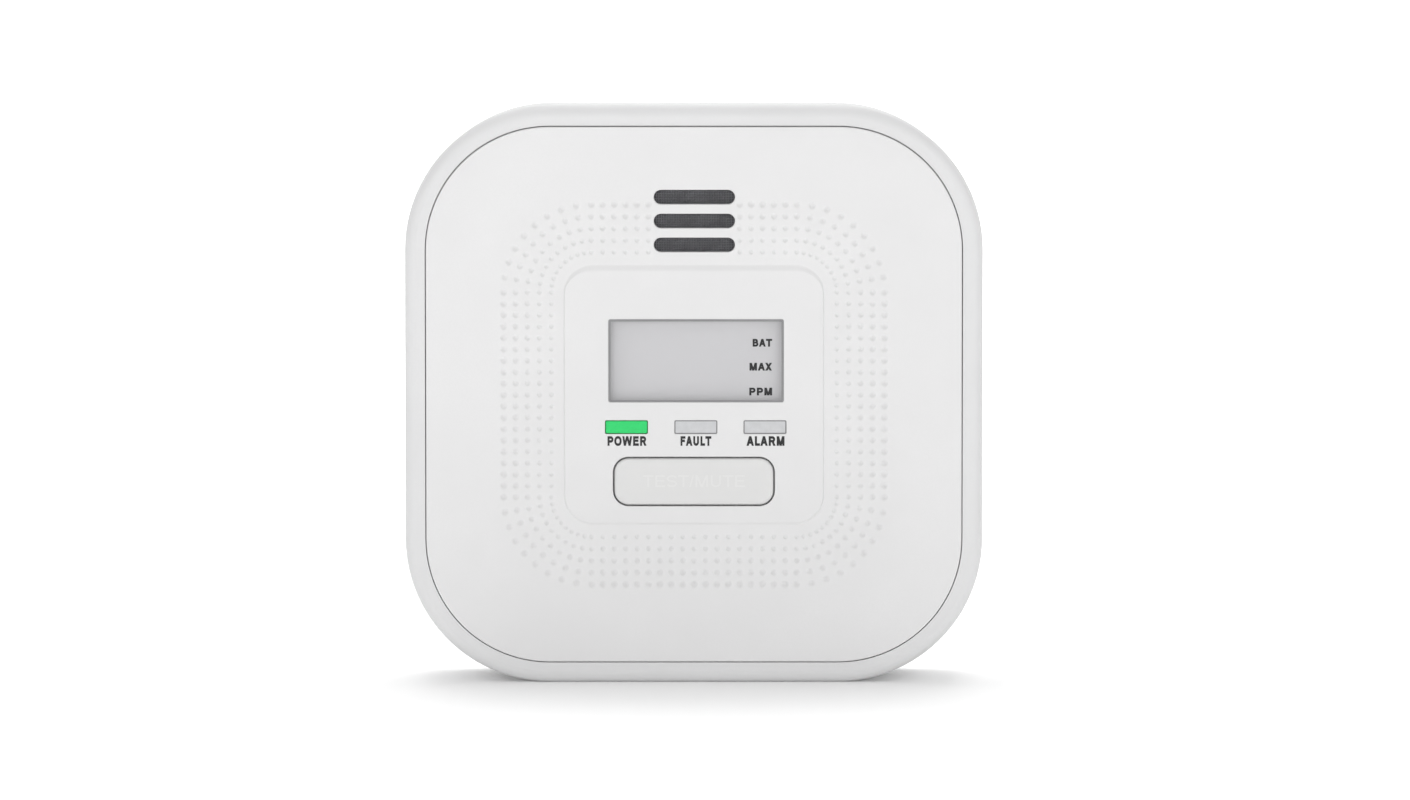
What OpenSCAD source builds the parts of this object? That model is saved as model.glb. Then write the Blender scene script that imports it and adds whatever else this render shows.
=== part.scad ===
// Carbon monoxide alarm, battery powered, standing on its flat lower edge.
// Frame: +Z up, the front faces -Y, +X is to the right seen from the front.
// Origin: middle of the footprint, on the surface it stands on. Units: mm.

/* [Body] */
// Width and height of the housing, seen from the front
body_w = 120; // [116:1:130]
// Radius of the housing's corners, seen from the front
body_r = 30; // [28:1:34]
// Overall depth, from the button's face to the back of the wall plate
body_d = 36; // [35.5:0.5:42]
// Wall thickness of the rear housing
wall = 2.2; // [1.8:0.1:2.4]
// Rounding of the housing's front edge
front_round = 2.4; // [1:0.2:2.4]
// Rounding of the housing's back edge
back_round = 3; // [1:0.5:4]

/* [Front cover] */
// Width of the ring of housing that shows around the cover
ring_w = 4.5; // [4.5:0.1:6]
// Gap between the cover and that ring
seam = 0.3; // [0.2:0.05:0.5]
// Soft rounding of the cover's front edge
cover_round = 0.6; // [0.3:0.1:1]
// Width and height of the raised centre panel
panel_w = 54.1; // [52:0.1:58]
// Corner radius of the raised centre panel
panel_r = 6.2; // [4:0.2:10]
// Height of the centre panel above the cover
panel_rise = 0.35; // [0.2:0.05:0.5]

/* [Vent slots] */
// Length of each of the three slots
slot_l = 16.8; // [12:0.2:18]
// Height of each slot
slot_h = 2.95; // [2:0.05:3.4]
// Distance from one slot to the next
slot_pitch = 4.95; // [4.4:0.05:5.2]
// Height of the middle slot above the cover's centre
slot_z = 36.1; // [35:0.1:37]

/* [Dimples] */
// Half width of the outermost ring of dimples
dim_out = 39.5; // [38:0.1:40]
// Half width of the innermost ring of dimples
dim_in = 29.6; // [29.2:0.1:31]
// Distance of the rings' shared corner centres from the middle
dim_c = 21.3; // [20:0.1:22]
// Mouth radius of a dimple in the outermost ring
dim_r_out = 0.7; // [0.4:0.05:0.8]
// Mouth radius of a dimple in the innermost ring
dim_r_in = 0.5; // [0.3:0.05:0.7]
// Depth of a dimple
dim_deep = 0.25; // [0.1:0.05:0.5]

/* [Display] */
// Width of the display window
lcd_w = 36.4; // [34:0.1:38]
// Height of the display window
lcd_h = 17.25; // [15:0.05:17.6]
// Sideways place of the display window
lcd_x = 0.45; // [-1:0.05:1]
// Height of the display window above the centre
lcd_z = 7.1; // [6.8:0.1:7.6]
// Width of each lamp window
lamp_w = 8.9; // [7:0.1:10]
// Height of each lamp window
lamp_h = 2.85; // [2:0.05:3.2]
// Sideways distance between lamp windows
lamp_pitch = 14.4; // [12:0.1:15]
// Height of the lamp windows above the centre
lamp_z = -6.7; // [-6.9:0.1:-6.3]

/* [Button] */
// Width of the button's face
btn_w = 33; // [30:0.1:35]
// Height of the button's face
btn_h = 9.65; // [8.6:0.05:10]
// Corner radius of the button's face
btn_r = 2.95; // [2:0.05:4]
// Height of the button above the centre
btn_z = -18; // [-18.4:0.1:-17.6]
// Travel of the button
btn_travel = 0.5; // [0.3:0.1:0.5]

/* [Batteries] */
// Diameter of a cell
cell_d = 10.5; // [10:0.1:10.5]
// Length of a cell with its contact nub
cell_l = 44.5; // [43.5:0.1:44.5]

/* [Wall plate] */
// Width of the wall plate
plate_w = 74; // [72:1:76]
// Height of the wall plate
plate_h = 64; // [62:1:66]
// Distance between the two wall screws
wall_screw_x = 60; // [58:1:62]
// Radius of the wall screw holes
wall_screw_r = 2.25; // [2:0.05:2.6]
// Downward travel that frees the plate's hooks
plate_travel = 6; // [5:0.5:6]

/* [Hidden] */
$fn = 96;
e = 0.1;
zc = body_w / 2;
// depth levels, front to back
yf = -body_d / 2;              // button face
y_panel = yf + 0.6 - panel_rise;
y_cover = yf + 0.6;            // cover face
y_ring = yf + 1.0;             // front of the housing's ring
y_back = y_cover + 2.2;        // inside of the cover
y_pcb = yf + 15;               // front of the board
y_pcb2 = y_pcb + 1.6;          // back of the board
yb = body_d / 2;               // back of the wall plate
y_shell = yb - 3;              // back of the housing
y_floor = y_shell - wall;      // inside of the housing's back
y_plate = y_shell + 0.3;       // front of the wall plate
y_bay = y_shell - 13.6;        // inside of the battery bay's front wall
y_cell = y_shell - 7.85;       // axis of the cells
// cover and ring
cov_w = body_w - 2 * ring_w;
cov_r = body_r - ring_w;
open_w = cov_w + 2 * seam;
open_r = cov_r + seam;
// fixing points, from the centre
scr_x = 42; scr_z = 44;
post_x = 39; post_z = [-19.5, 22];
// battery bay, from the centre
bay_x = 25.6; bay_t = 1.6;
bay_z0 = -53.6; bay_z1 = -20.4;
cell_z = [-48, -37, -26];
// door and its hinge
door_x = bay_x + bay_t - 0.3;
door_t = 1.8;
door_top = bay_z1 + bay_t - 0.3;
hinge_y = y_shell - 1.7; hinge_z = -53.2; hinge_r = 1.7; pin_r = 1.0;
// gas cell and sounder, from the centre
gas_x = -29; gas_z = 33;
horn_z = 36;
// wall plate, from the centre
plate_z = 20; hook_x = 30; hook_z = [0, 38]; wall_screw_z = 22;
lamp_xs = [-lamp_pitch + 0.4, 0.4, lamp_pitch + 0.35];

// ---- shared shapes; every y0, y1 pair runs from front to back ----
module up() translate([0, 0, zc]) children();

module box(x0, x1, y0, y1, z0, z1) translate([x0, y0, z0]) cube([x1 - x0, y1 - y0, z1 - z0]);

module rod(r, y0, y1, x = 0, z = 0) translate([x, y1, z]) rotate([90, 0, 0]) cylinder(r = r, h = y1 - y0);

module cone(r0, r1, y0, y1, x = 0, z = 0) translate([x, y0, z]) rotate([-90, 0, 0]) cylinder(r1 = r0, r2 = r1, h = y1 - y0);

module xrod(r, x0, x1, y, z) translate([x0, y, z]) rotate([0, 90, 0]) cylinder(r = r, h = x1 - x0);

// rounded rectangle with true arcs
module rounded(w, h, r) {
  square([w - 2 * r, h], center = true);
  square([w, h - 2 * r], center = true);
  for (x = [-1, 1], y = [-1, 1]) translate([x * (w / 2 - r), y * (h / 2 - r)]) circle(r);
}

// rounded rectangle in the XZ plane, carried from y0 to y1
module slab(w, h, r, y0, y1, x = 0, z = 0)
  translate([x, y1, z]) rotate([90, 0, 0]) linear_extrude(height = y1 - y0) rounded(w, h, r);

// long hole with full round ends
module stadium(l, h, y0, y1, x = 0, z = 0)
  translate([x, y1, z]) rotate([90, 0, 0]) linear_extrude(height = y1 - y0) {
    square([l - h, h], center = true);
    for (s = [-1, 1]) translate([s * (l - h) / 2, 0]) circle(h / 2);
  }

// outline of an edge: radius r out, y0 to y1 deep, front and back corners rounded by ff and fb
module edge_profile(r, y0, y1, ff, fb) difference() {
  translate([0, y0]) square([r, y1 - y0]);
  if (ff > 0) difference() {
    translate([r - ff, y0 - 1]) square([ff + 1, ff + 1]);
    translate([r - ff, y0 + ff]) circle(ff);
  }
  if (fb > 0) difference() {
    translate([r - fb, y1 - fb]) square([fb + 1, fb + 1]);
    translate([r - fb, y1 - fb]) circle(fb);
  }
}

// rounded rectangle with rounded front and back edges
module pillow(w, h, r, y0, y1, ff, fb, z = 0) translate([0, 0, z]) rotate([-90, 0, 0]) {
  a = w / 2 - r;
  b = h / 2 - r;
  translate([-a, -b, y0]) cube([2 * a, 2 * b, y1 - y0]);
  for (s = [0, 180]) rotate([0, 0, s]) {
    translate([a, b, 0]) rotate([90, 0, 0]) linear_extrude(height = 2 * b) edge_profile(r, y0, y1, ff, fb);
    translate([-a, b, 0]) rotate([90, 0, 90]) linear_extrude(height = 2 * a) edge_profile(r, y0, y1, ff, fb);
    translate([a, b, 0]) rotate_extrude(angle = 90) edge_profile(r, y0, y1, ff, fb);
    translate([-a, b, 0]) rotate([0, 0, 90]) rotate_extrude(angle = 90) edge_profile(r, y0, y1, ff, fb);
  }
}

// round wire swept along centre points, with a local pair of cross directions for each point
function ring_points(c, u, v, r, n) = [for (k = [0:n - 1]) c + r * (cos(360 * k / n) * u + sin(360 * k / n) * v)];
module wire(pts, us, vs, r, n = 8) {
  m = len(pts);
  p = [for (i = [0:m - 1]) each ring_points(pts[i], us[i], vs[i], r, n)];
  sides = [for (i = [0:m - 2], k = [0:n - 1])
    [i * n + k, (i + 1) * n + k, (i + 1) * n + (k + 1) % n, i * n + (k + 1) % n]];
  polyhedron(points = p, faces = concat(sides,
    [[for (k = [0:n - 1]) k]], [[for (k = [n - 1:-1:0]) (m - 1) * n + k]]), convexity = 6);
}
function unit(v) = v / norm(v);
function bez(a, b, c, d, t) = pow(1 - t, 3) * a + 3 * t * pow(1 - t, 2) * b + 3 * t * t * (1 - t) * c + pow(t, 3) * d;
function bez_dir(a, b, c, d, t) = unit(3 * pow(1 - t, 2) * (b - a) + 6 * t * (1 - t) * (c - b) + 3 * t * t * (d - c));
module bez_wire(a, b, c, d, r, n = 20) {
  ts = [for (i = [0:n]) i / n];
  dirs = [for (t = ts) bez_dir(a, b, c, d, t)];
  us = [for (q = dirs) unit(cross(q, [1, 0, 0.2]))];
  vs = [for (i = [0:n]) cross(dirs[i], us[i])];
  wire([for (t = ts) bez(a, b, c, d, t)], us, vs, r);
}

// ---- front ----
module dimple(x, z, r) cone(r + 0.04, r * 0.35, y_cover - 0.02, y_cover + dim_deep, x, z);

module dimple_field()
  for (i = [0:4]) {
    h = dim_out + (dim_in - dim_out) * i / 4;
    r = dim_r_out + (dim_r_in - dim_r_out) * i / 4;
    for (s = [0:3]) rotate([0, s * 90, 0]) {
      // straight run of 19, with seven left out above the panel for the slots
      for (k = [-9:9]) if (s > 0 || abs(k) > 3) dimple(k * dim_c / 9, h, r);
      // fan of eight around the corner
      for (t = [10:10:80]) dimple(dim_c + (h - dim_c) * sin(t), dim_c + (h - dim_c) * cos(t), r);
    }
  }

module front_cover() color("#f1f0f0") up() difference() {
  union() {
    pillow(cov_w, cov_w, cov_r, y_cover, y_back, cover_round, 0);
    pillow(panel_w, panel_w, panel_r, y_panel, y_cover + 0.4, 0.3, 0);
    // skirt that stands inside the housing's ring
    difference() {
      slab(cov_w - 0.8, cov_w - 0.8, cov_r - 0.4, y_back - 0.4, y_back + 2.7);
      slab(cov_w - 3.8, cov_w - 3.8, cov_r - 1.9, y_back - 0.6, y_back + 3);
    }
    // bosses for the four housing screws, with cross ribs at their feet
    for (x = [-scr_x, scr_x], z = [-scr_z, scr_z]) {
      rod(3.2, y_back - e, y_shell - 13, x, z);
      box(x - 5.2, x + 5.2, y_back - e, y_back + 5, z - 0.6, z + 0.6);
      box(x - 0.6, x + 0.6, y_back - e, y_back + 5, z - 5.2, z + 5.2);
    }
    // posts for the board
    for (x = [-post_x, post_x], z = post_z) rod(2.6, y_back - e, y_pcb, x, z);
    // pins that guide the button
    for (x = [-19, 19]) rod(1.0, y_back - e, y_back + 3.9, x, btn_z);
    // rim around the vent screen
    difference() {
      rod(13.6, y_back - e, y_back + 1.6, 0, horn_z);
      rod(12.6, y_back - 2 * e, y_back + 2, 0, horn_z);
    }
  }
  // display window and its seat
  slab(lcd_w, lcd_h, 0.4, y_panel - 1, y_back + 1, lcd_x, lcd_z);
  slab(40, 20, 0.8, y_back - 1.2, y_back + 1, lcd_x, lcd_z);
  // lamp windows
  for (x = lamp_xs) slab(lamp_w, lamp_h, 0.3, y_panel - 1, y_back + 1, x, lamp_z);
  // button opening
  slab(btn_w + 0.6, btn_h + 0.6, btn_r + 0.3, y_panel - 1, y_back + 1, 0, btn_z);
  // vent slots
  for (s = [-1:1]) stadium(slot_l, slot_h, y_panel - 1, y_back + 1, 0.1, slot_z + s * slot_pitch);
  dimple_field();
  // pilot holes
  for (x = [-scr_x, scr_x], z = [-scr_z, scr_z]) rod(1.5, y_shell - 21.5, y_shell - 12.9, x, z);
  for (x = [-post_x, post_x], z = post_z) rod(1.05, y_pcb - 6.5, y_pcb + e, x, z);
}

module test_button() color("#e9e9e8") up() {
  difference() {
    union() {
      pillow(btn_w, btn_h, btn_r, yf, y_back + 0.3, 0.6, 0, btn_z);
      // collar with guide ears behind the cover
      slab(btn_w + 3.4, btn_h + 2.2, 3.4, y_back + 0.2, y_back + 1.2, 0, btn_z);
      slab(42.4, 6.4, 3, y_back + 0.2, y_back + 1.2, 0, btn_z);
    }
    slab(btn_w - 3, btn_h - 3, 1.6, yf + 1.5, y_back + 2, 0, btn_z);
    for (x = [-19, 19]) rod(1.08, y_back, y_back + 2, x, btn_z);
  }
  // stem that meets the switch, on a cross of ribs
  rod(2, yf + 1.4, y_back + 2.5, 0, btn_z);
  box(-btn_w / 2 + 1, btn_w / 2 - 1, yf + 1.4, y_back + 1.2, btn_z - 0.5, btn_z + 0.5);
  box(-0.5, 0.5, yf + 1.4, y_back + 1.2, btn_z - btn_h / 2 + 1, btn_z + btn_h / 2 - 1);
}

module switch_body() color("#2b2c2f") up() {
  difference() {
    union() {
      box(-3, 3, y_pcb - 3.5, y_pcb, btn_z - 3, btn_z + 3);
      for (x = [-1, 1], z = [-1, 1]) rod(0.45, y_pcb - 3.7, y_pcb - 3.4, x * 2.3, btn_z + z * 2.3);
    }
    rod(1.8, y_pcb - 3.6, y_pcb - 1, 0, btn_z);
  }
  // legs through the board
  for (x = [-2.9, 2.9], z = [-2.2, 2.2])
    box(x - 0.35, x + 0.35, y_pcb - 0.6, y_pcb + 2.4, btn_z + z - 0.15, btn_z + z + 0.15);
}

module switch_plunger() color("#d8d8d4") up() {
  rod(1.7, y_back + 2.6, y_pcb - 1.8, 0, btn_z);
}

// ---- display ----
module lcd_window() color("#dfe3e6", 0.35) up() {
  slab(lcd_w - 0.5, lcd_h - 0.5, 0.3, y_panel + 0.2, y_back - 1.1, lcd_x, lcd_z);
  slab(39.6, 19.6, 0.7, y_back - 1.2, y_back - 0.2, lcd_x, lcd_z);
}

module lcd_panel() color("#cdcecf") up()
  box(lcd_x - 20.5, lcd_x + 20.5, y_back + 0.1, y_back + 2.2, lcd_z - 10.1, lcd_z + 10.1);

module lcd_holder() color("#f2f2ef") up() difference() {
  box(lcd_x - 22, lcd_x + 22, y_back + 0.4, y_pcb, lcd_z - 11.2, lcd_z + 11.2);
  box(lcd_x - 20.6, lcd_x + 20.6, y_back - 1, y_back + 2.2, lcd_z - 10.2, lcd_z + 10.2);
  box(lcd_x - 19, lcd_x + 19, y_back, y_back + 5, lcd_z - 7.1, lcd_z + 7.1);
  box(lcd_x - 17.5, lcd_x + 17.5, y_back, y_pcb + 1, lcd_z - 6, lcd_z + 6);
  for (s = [-1, 1]) box(lcd_x - 19.2, lcd_x + 19.2, y_back, y_pcb + 1, lcd_z + s * 8.9 - 1.2, lcd_z + s * 8.9 + 1.2);
}

module backlight_diffuser() color("#f6f6f3", 0.8) up()
  box(lcd_x - 18.8, lcd_x + 18.8, y_back + 2.3, y_back + 5, lcd_z - 6.9, lcd_z + 6.9);

module elastomer_strips() color("#5a5b5e") up()
  for (s = [-1, 1]) box(lcd_x - 19, lcd_x + 19, y_back + 2.2, y_pcb, lcd_z + s * 8.9 - 1, lcd_z + s * 8.9 + 1);

module light_pipe(x) up() {
  slab(lamp_w - 0.4, lamp_h - 0.4, 0.25, y_panel + 0.15, y_back + 0.1, x, lamp_z);
  slab(10.3, 4.2, 0.5, y_back, y_back + 0.8, x, lamp_z);
  slab(5, 2.3, 0.3, y_back + 0.7, y_pcb - 2.1, x, lamp_z);
}
module light_pipe_power() color("#3dda78") light_pipe(lamp_xs[0]);
module light_pipe_fault() color("#cdced0") light_pipe(lamp_xs[1]);
module light_pipe_alarm() color("#cdced0") light_pipe(lamp_xs[2]);

module led(x) up() {
  box(x - 1.75, x + 1.75, y_pcb - 0.9, y_pcb, lamp_z - 1.4, lamp_z + 1.4);
  slab(2.9, 2.2, 0.6, y_pcb - 1.9, y_pcb - 0.8, x, lamp_z);
}
module led_power() color("#eaf7ea") led(lamp_xs[0]);
module led_fault() color("#f5efc9") led(lamp_xs[1]);
module led_alarm() color("#f3dcdc") led(lamp_xs[2]);

// ---- board and what is on it ----
module main_pcb() color("#1d6b3a") up() difference() {
  slab(88, 74, 6, y_pcb, y_pcb2, 0, 11);
  for (x = [-scr_x, scr_x]) rod(5.2, y_pcb - 1, y_pcb2 + 1, x, scr_z);
  for (x = [-post_x, post_x], z = post_z) rod(1.15, y_pcb - 1, y_pcb2 + 1, x, z);
  for (a = [90, 210, 330]) rod(0.65, y_pcb - 1, y_pcb2 + 1, gas_x + 6 * cos(a), gas_z + 6 * sin(a));
  for (x = [-6, 6]) rod(0.55, y_pcb - 1, y_pcb2 + 1, x, horn_z);
  for (x = [-2.9, 2.9], z = [-2.2, 2.2])
    box(x - 0.5, x + 0.5, y_pcb - 1, y_pcb2 + 1, btn_z + z - 0.3, btn_z + z + 0.3);
}

module co_sensor_can() color("#b9bcc0") up() {
  rod(9, y_pcb - 10.4, y_pcb - 0.6, gas_x, gas_z);
  rod(9.5, y_pcb - 1.8, y_pcb - 0.4, gas_x, gas_z);
}

module co_sensor_cap() color("#f0f0ee") up() difference() {
  union() {
    rod(8.2, y_pcb - 11.2, y_pcb - 10.4, gas_x, gas_z);
    rod(5, y_pcb - 11.6, y_pcb - 11.1, gas_x, gas_z);
  }
  rod(1.6, y_pcb - 12, y_pcb - 10.9, gas_x, gas_z);
  for (a = [0:60:300]) rod(0.6, y_pcb - 12, y_pcb - 10.9, gas_x + 3.2 * cos(a), gas_z + 3.2 * sin(a));
}

module co_sensor_pins() color("#c9b36a") up()
  for (a = [90, 210, 330]) rod(0.5, y_pcb - 0.4, y_pcb2 + 0.8, gas_x + 6 * cos(a), gas_z + 6 * sin(a));

module vent_mesh() color("#55565a") up() rod(12.3, y_back, y_back + 0.35, 0, horn_z);

module buzzer_gasket() color("#3b3b3d") up() difference() {
  rod(12.3, y_back + 0.35, y_pcb - 9.2, 0, horn_z);
  rod(9.5, y_back, y_pcb, 0, horn_z);
}

module buzzer_case() color("#222326") up() difference() {
  rod(12.5, y_pcb - 9.2, y_pcb, 0, horn_z);
  rod(2.6, y_pcb - 10, y_pcb - 4, 0, horn_z);
  rod(10.2, y_pcb - 8, y_pcb + 1, 0, horn_z);
  rod(11.6, y_pcb - 5, y_pcb + 1, 0, horn_z);
}

module piezo_disc() color("#c9a24a") up() {
  rod(11.4, y_pcb - 5, y_pcb - 4.75, 0, horn_z);
  rod(8, y_pcb - 4.8, y_pcb - 4.55, 0, horn_z);
}

module buzzer_pins() color("#c9b36a") up()
  for (x = [-6, 6]) rod(0.4, y_pcb - 4.55, y_pcb2 + 0.8, x, horn_z);

module mcu_chip() color("#26272a") up() {
  box(-5, 5, y_pcb2 + 0.1, y_pcb2 + 1.5, 1, 11);
  for (k = [-3.5:1:3.5], s = [-1, 1]) {
    box(k - 0.2, k + 0.2, y_pcb2, y_pcb2 + 0.3, 6 + s * 5.5 - 0.6, 6 + s * 5.5 + 0.6);
    box(s * 5.5 - 0.6, s * 5.5 + 0.6, y_pcb2, y_pcb2 + 0.3, 6 + k - 0.2, 6 + k + 0.2);
  }
}

module capacitor() color("#3a3f7a") up() {
  rod(4, y_pcb2 + 0.4, y_pcb2 + 8.6, 19, 8);
  rod(3.6, y_pcb2 + 8.5, y_pcb2 + 8.9, 19, 8);
  rod(3.7, y_pcb2, y_pcb2 + 0.5, 19, 8);
}

module inductor() color("#4a4a4c") up() {
  rod(3.6, y_pcb2, y_pcb2 + 0.8, -19, 8);
  rod(2.7, y_pcb2 + 0.7, y_pcb2 + 3.4, -19, 8);
  rod(3.6, y_pcb2 + 3.3, y_pcb2 + 4.1, -19, 8);
}

module chip_parts() color("#b08d5c") up() {
  for (k = [0:4]) {
    box(26 + (k % 2) * 5, 28 + (k % 2) * 5, y_pcb - 0.6, y_pcb, 22 + k * 4, 23.25 + k * 4);
    box(-11 + k * 4, -9 + k * 4, y_pcb2, y_pcb2 + 0.6, 20, 21.25);
  }
  for (k = [0:3]) box(9 + k * 4, 10.25 + k * 4, y_pcb2, y_pcb2 + 0.6, -8, -6);
  box(22, 26, y_pcb - 1.6, y_pcb, 42, 45);
}

// ---- rear housing ----
module rear_housing() color("#eeeeee") up() difference() {
  union() {
    difference() {
      pillow(body_w, body_w, body_r, y_ring, y_shell, front_round, back_round);
      slab(body_w - 2 * wall, body_w - 2 * wall, body_r - wall, y_ring + 2.4, y_floor);
      slab(open_w, open_w, open_r, y_ring - 1, y_ring + 2.5);
    }
    // battery bay
    box(-bay_x - bay_t, bay_x + bay_t, y_bay - 1.5, y_floor + 0.5, bay_z0 - 2.5, bay_z1 + bay_t);
    // hinge blocks
    for (s = [-1, 1]) box(s * 29.4 - 2.3, s * 29.4 + 2.3, y_floor - 2.2, y_floor + 0.5, hinge_z - 3.4, hinge_z + 3.2);
    // pillars for the housing screws
    for (x = [-scr_x, scr_x], z = [-scr_z, scr_z]) rod(4.4, y_shell - 13, y_floor + 0.5, x, z);
    // pockets behind the hook holes
    for (x = [-hook_x, hook_x], z = hook_z) box(x - 5.7, x + 5.7, y_floor - 4, y_floor + 0.5, z - 7.6, z + 9.2);
    // stiffening ribs across the back
    for (x = [-14, 14]) box(x - 0.6, x + 0.6, y_floor - 3, y_floor + 0.5, bay_z1 + 1, 50);
  }
  // inside of the bay and the door opening
  difference() {
    box(-bay_x, bay_x, y_bay, y_shell + 1, bay_z0, bay_z1);
    // ridges that keep the cells apart
    for (z = [-42.5, -31.5]) box(-16, 16, y_bay - e, y_bay + 1.5, z - 0.9, z + 0.9);
  }
  box(-door_x - 0.3, door_x + 0.3, y_shell - 2, y_shell + 1, bay_z0 - 1.6, bay_z1 + bay_t);
  // room for the hinge barrel, and the pin holes
  xrod(hinge_r + 0.35, -door_x - 0.3, door_x + 0.3, hinge_y, hinge_z);
  xrod(pin_r + 0.07, -door_x - 2.3, door_x + 2.3, hinge_y, hinge_z);
  // finger notch above the door
  box(-7, 7, y_shell - 1.3, y_shell + 1, bay_z1 + bay_t - e, bay_z1 + bay_t + 3);
  // screw recesses
  for (x = [-scr_x, scr_x], z = [-scr_z, scr_z]) {
    rod(3.3, y_shell - 11, y_shell + 1, x, z);
    rod(1.65, y_shell - 14, y_shell - 10.9, x, z);
  }
  // hook holes and pockets
  for (x = [-hook_x, hook_x], z = hook_z) {
    box(x - 4.3, x + 4.3, y_floor - e, y_shell + 1, z - 6.4, z + 3.4);
    box(x - 4.5, x + 4.5, y_floor - 2.8, y_floor, z - 6.4, z + 8);
  }
  // slots for the contact tabs
  box(bay_x - e, bay_x + bay_t + e, y_cell - 2.2, y_cell + 0.2, cell_z[0] - 1.1, cell_z[0] + 1.1);
  box(-bay_x - bay_t - e, -bay_x + e, y_cell - 2.2, y_cell + 0.2, cell_z[2] - 1.1, cell_z[2] + 1.1);
}

module battery_door() color("#ebebeb") up() {
  difference() {
    translate([-door_x, 0, 0]) rotate([90, 0, 90]) linear_extrude(height = 2 * door_x) {
      translate([y_shell - door_t, hinge_z]) square([door_t, door_top - hinge_z]);
      translate([hinge_y, hinge_z]) circle(hinge_r);
    }
    // seat of the label
    slab(40.6, 18.6, 1.2, y_shell - 0.15, y_shell + 1, 0, -38.5);
    // finger grooves
    for (z = [-26.4, -24.8, -23.2]) stadium(16, 0.8, y_shell - 0.5, y_shell + 1, 0, z);
  }
  // hinge pins
  xrod(pin_r, door_x - e, door_x + 2, hinge_y, hinge_z);
  xrod(pin_r, -door_x - 2, -door_x + e, hinge_y, hinge_z);
  // ribs that hold the cells down
  for (x = [-12, 12]) box(x - 0.6, x + 0.6, y_shell - 2.25, y_shell - door_t + e, -50, -24);
  // snap tongue
  box(-4, 4, y_shell - 3.5, y_shell - door_t + e, bay_z1 - 1.8, bay_z1 - 0.5);
}

module rating_label() color("#f7f7f7") up() slab(40, 18, 1, y_shell - 0.15, y_shell - 0.02, 0, -38.5);

module mounting_plate() color("#e6e6e6") up() {
  difference() {
    pillow(plate_w, plate_h, 12, y_plate, yb, 0, 0.5, plate_z);
    for (x = [-wall_screw_x / 2, wall_screw_x / 2]) {
      rod(wall_screw_r, y_plate - 1, yb + 1, x, wall_screw_z);
      cone(4.1, wall_screw_r, y_plate - 0.1, y_plate + 1.7, x, wall_screw_z);
    }
    // shallow pocket in the front face
    slab(40, 26, 3, y_plate - 1, y_plate + 1, 0, 30);
    // slots beside the spring tongue
    for (s = [-1, 1]) box(s * 6 - 0.5, s * 6 + 0.5, y_plate - 1, yb + 1, plate_z - plate_h / 2 - 1, 8);
  }
  // bump on the tongue
  box(-3, 3, y_plate - 0.15, y_plate + 0.5, -9, -8);
  // hooks
  for (x = [-hook_x, hook_x], z = hook_z) {
    box(x - 3.5, x + 3.5, y_floor - 2.3, y_plate + 0.5, z, z + 3);
    box(x - 3.5, x + 3.5, y_floor - 2.3, y_floor - 0.3, z, z + 7.5);
  }
}

// ---- batteries ----
// s = 1 has the nub on the right
module cell(z, s) up() {
  nub = 0.8;
  tip = bay_x - 0.4;
  x0 = tip - cell_l;
  if (s > 0) {
    xrod(cell_d / 2, x0, tip - nub, y_cell, z);
    xrod(1.9, tip - nub - e, tip, y_cell, z);
  } else {
    xrod(cell_d / 2, -tip + nub, -x0, y_cell, z);
    xrod(1.9, -tip, -tip + nub + e, y_cell, z);
  }
}
module battery_lower() color("#3c6f8f") cell(cell_z[0], 1);
module battery_middle() color("#3c6f8f") cell(cell_z[1], -1);
module battery_upper() color("#3c6f8f") cell(cell_z[2], 1);

// conical spring from the contact at xa to the cell's end at xb
module coil(xa, xb, z) {
  turns = 4.25;
  n = 68;
  wr = 0.35;
  g = xb > xa ? 1 : -1;
  function f(i) = max(0, min(1, (i / n * turns - 0.5) / (turns - 1)));
  pts = [for (i = [0:n]) let (a = 360 * turns * i / n, r = 3.9 - 1.3 * f(i))
    [xa + g * wr + (xb - xa - 2 * g * wr) * f(i), y_cell + r * cos(a), z + r * sin(a)]];
  us = [for (i = [0:n]) let (a = 360 * turns * i / n) [0, cos(a), sin(a)]];
  vs = [for (i = [0:n]) [-1, 0, 0]];
  wire(pts, us, vs, wr);
}
module battery_springs() color("#c4c7ca") up() {
  xa = bay_x - 0.4;
  xb = cell_l - xa;
  coil(-xa, -xb, cell_z[0]);
  coil(xa, xb, cell_z[1]);
  coil(-xa, -xb, cell_z[2]);
}

module battery_contacts() color("#c4c7ca") up() {
  a = bay_x - 0.4;
  b = bay_x;
  box(a, b, y_cell - 4, y_cell + 4, cell_z[0] - 4.4, cell_z[0] + 4.4);
  box(a, b, y_cell - 4, y_cell + 4, cell_z[1] - 4.4, cell_z[2] + 4.4);
  box(-b, -a, y_cell - 4, y_cell + 4, cell_z[0] - 4.4, cell_z[1] + 4.4);
  box(-b, -a, y_cell - 4, y_cell + 4, cell_z[2] - 4.4, cell_z[2] + 4.4);
  // tabs for the leads
  box(b - 0.2, b + bay_t + 1.2, y_cell - 2, y_cell, cell_z[0] - 0.2, cell_z[0] + 0.2);
  box(-b - bay_t - 1.2, -b + 0.2, y_cell - 2, y_cell, cell_z[2] - 0.2, cell_z[2] + 0.2);
}

module battery_lead_red() color("#b3261e") up()
  bez_wire([bay_x + 2.3, y_cell - 1, cell_z[0] + 0.8], [bay_x + 3, y_cell - 1, cell_z[0] + 14],
    [bay_x + 8.4, y_cell - 1, -21], [bay_x + 8.4, y_pcb2 + 0.03, -21], 0.6, 24);
module battery_lead_black() color("#232323") up()
  bez_wire([-bay_x - 2.3, y_cell - 1, cell_z[2] + 0.8], [-bay_x - 3, y_cell - 1, cell_z[2] + 7],
    [-bay_x - 8.4, y_cell - 2, -21], [-bay_x - 8.4, y_pcb2 + 0.03, -21], 0.6, 18);

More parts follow.
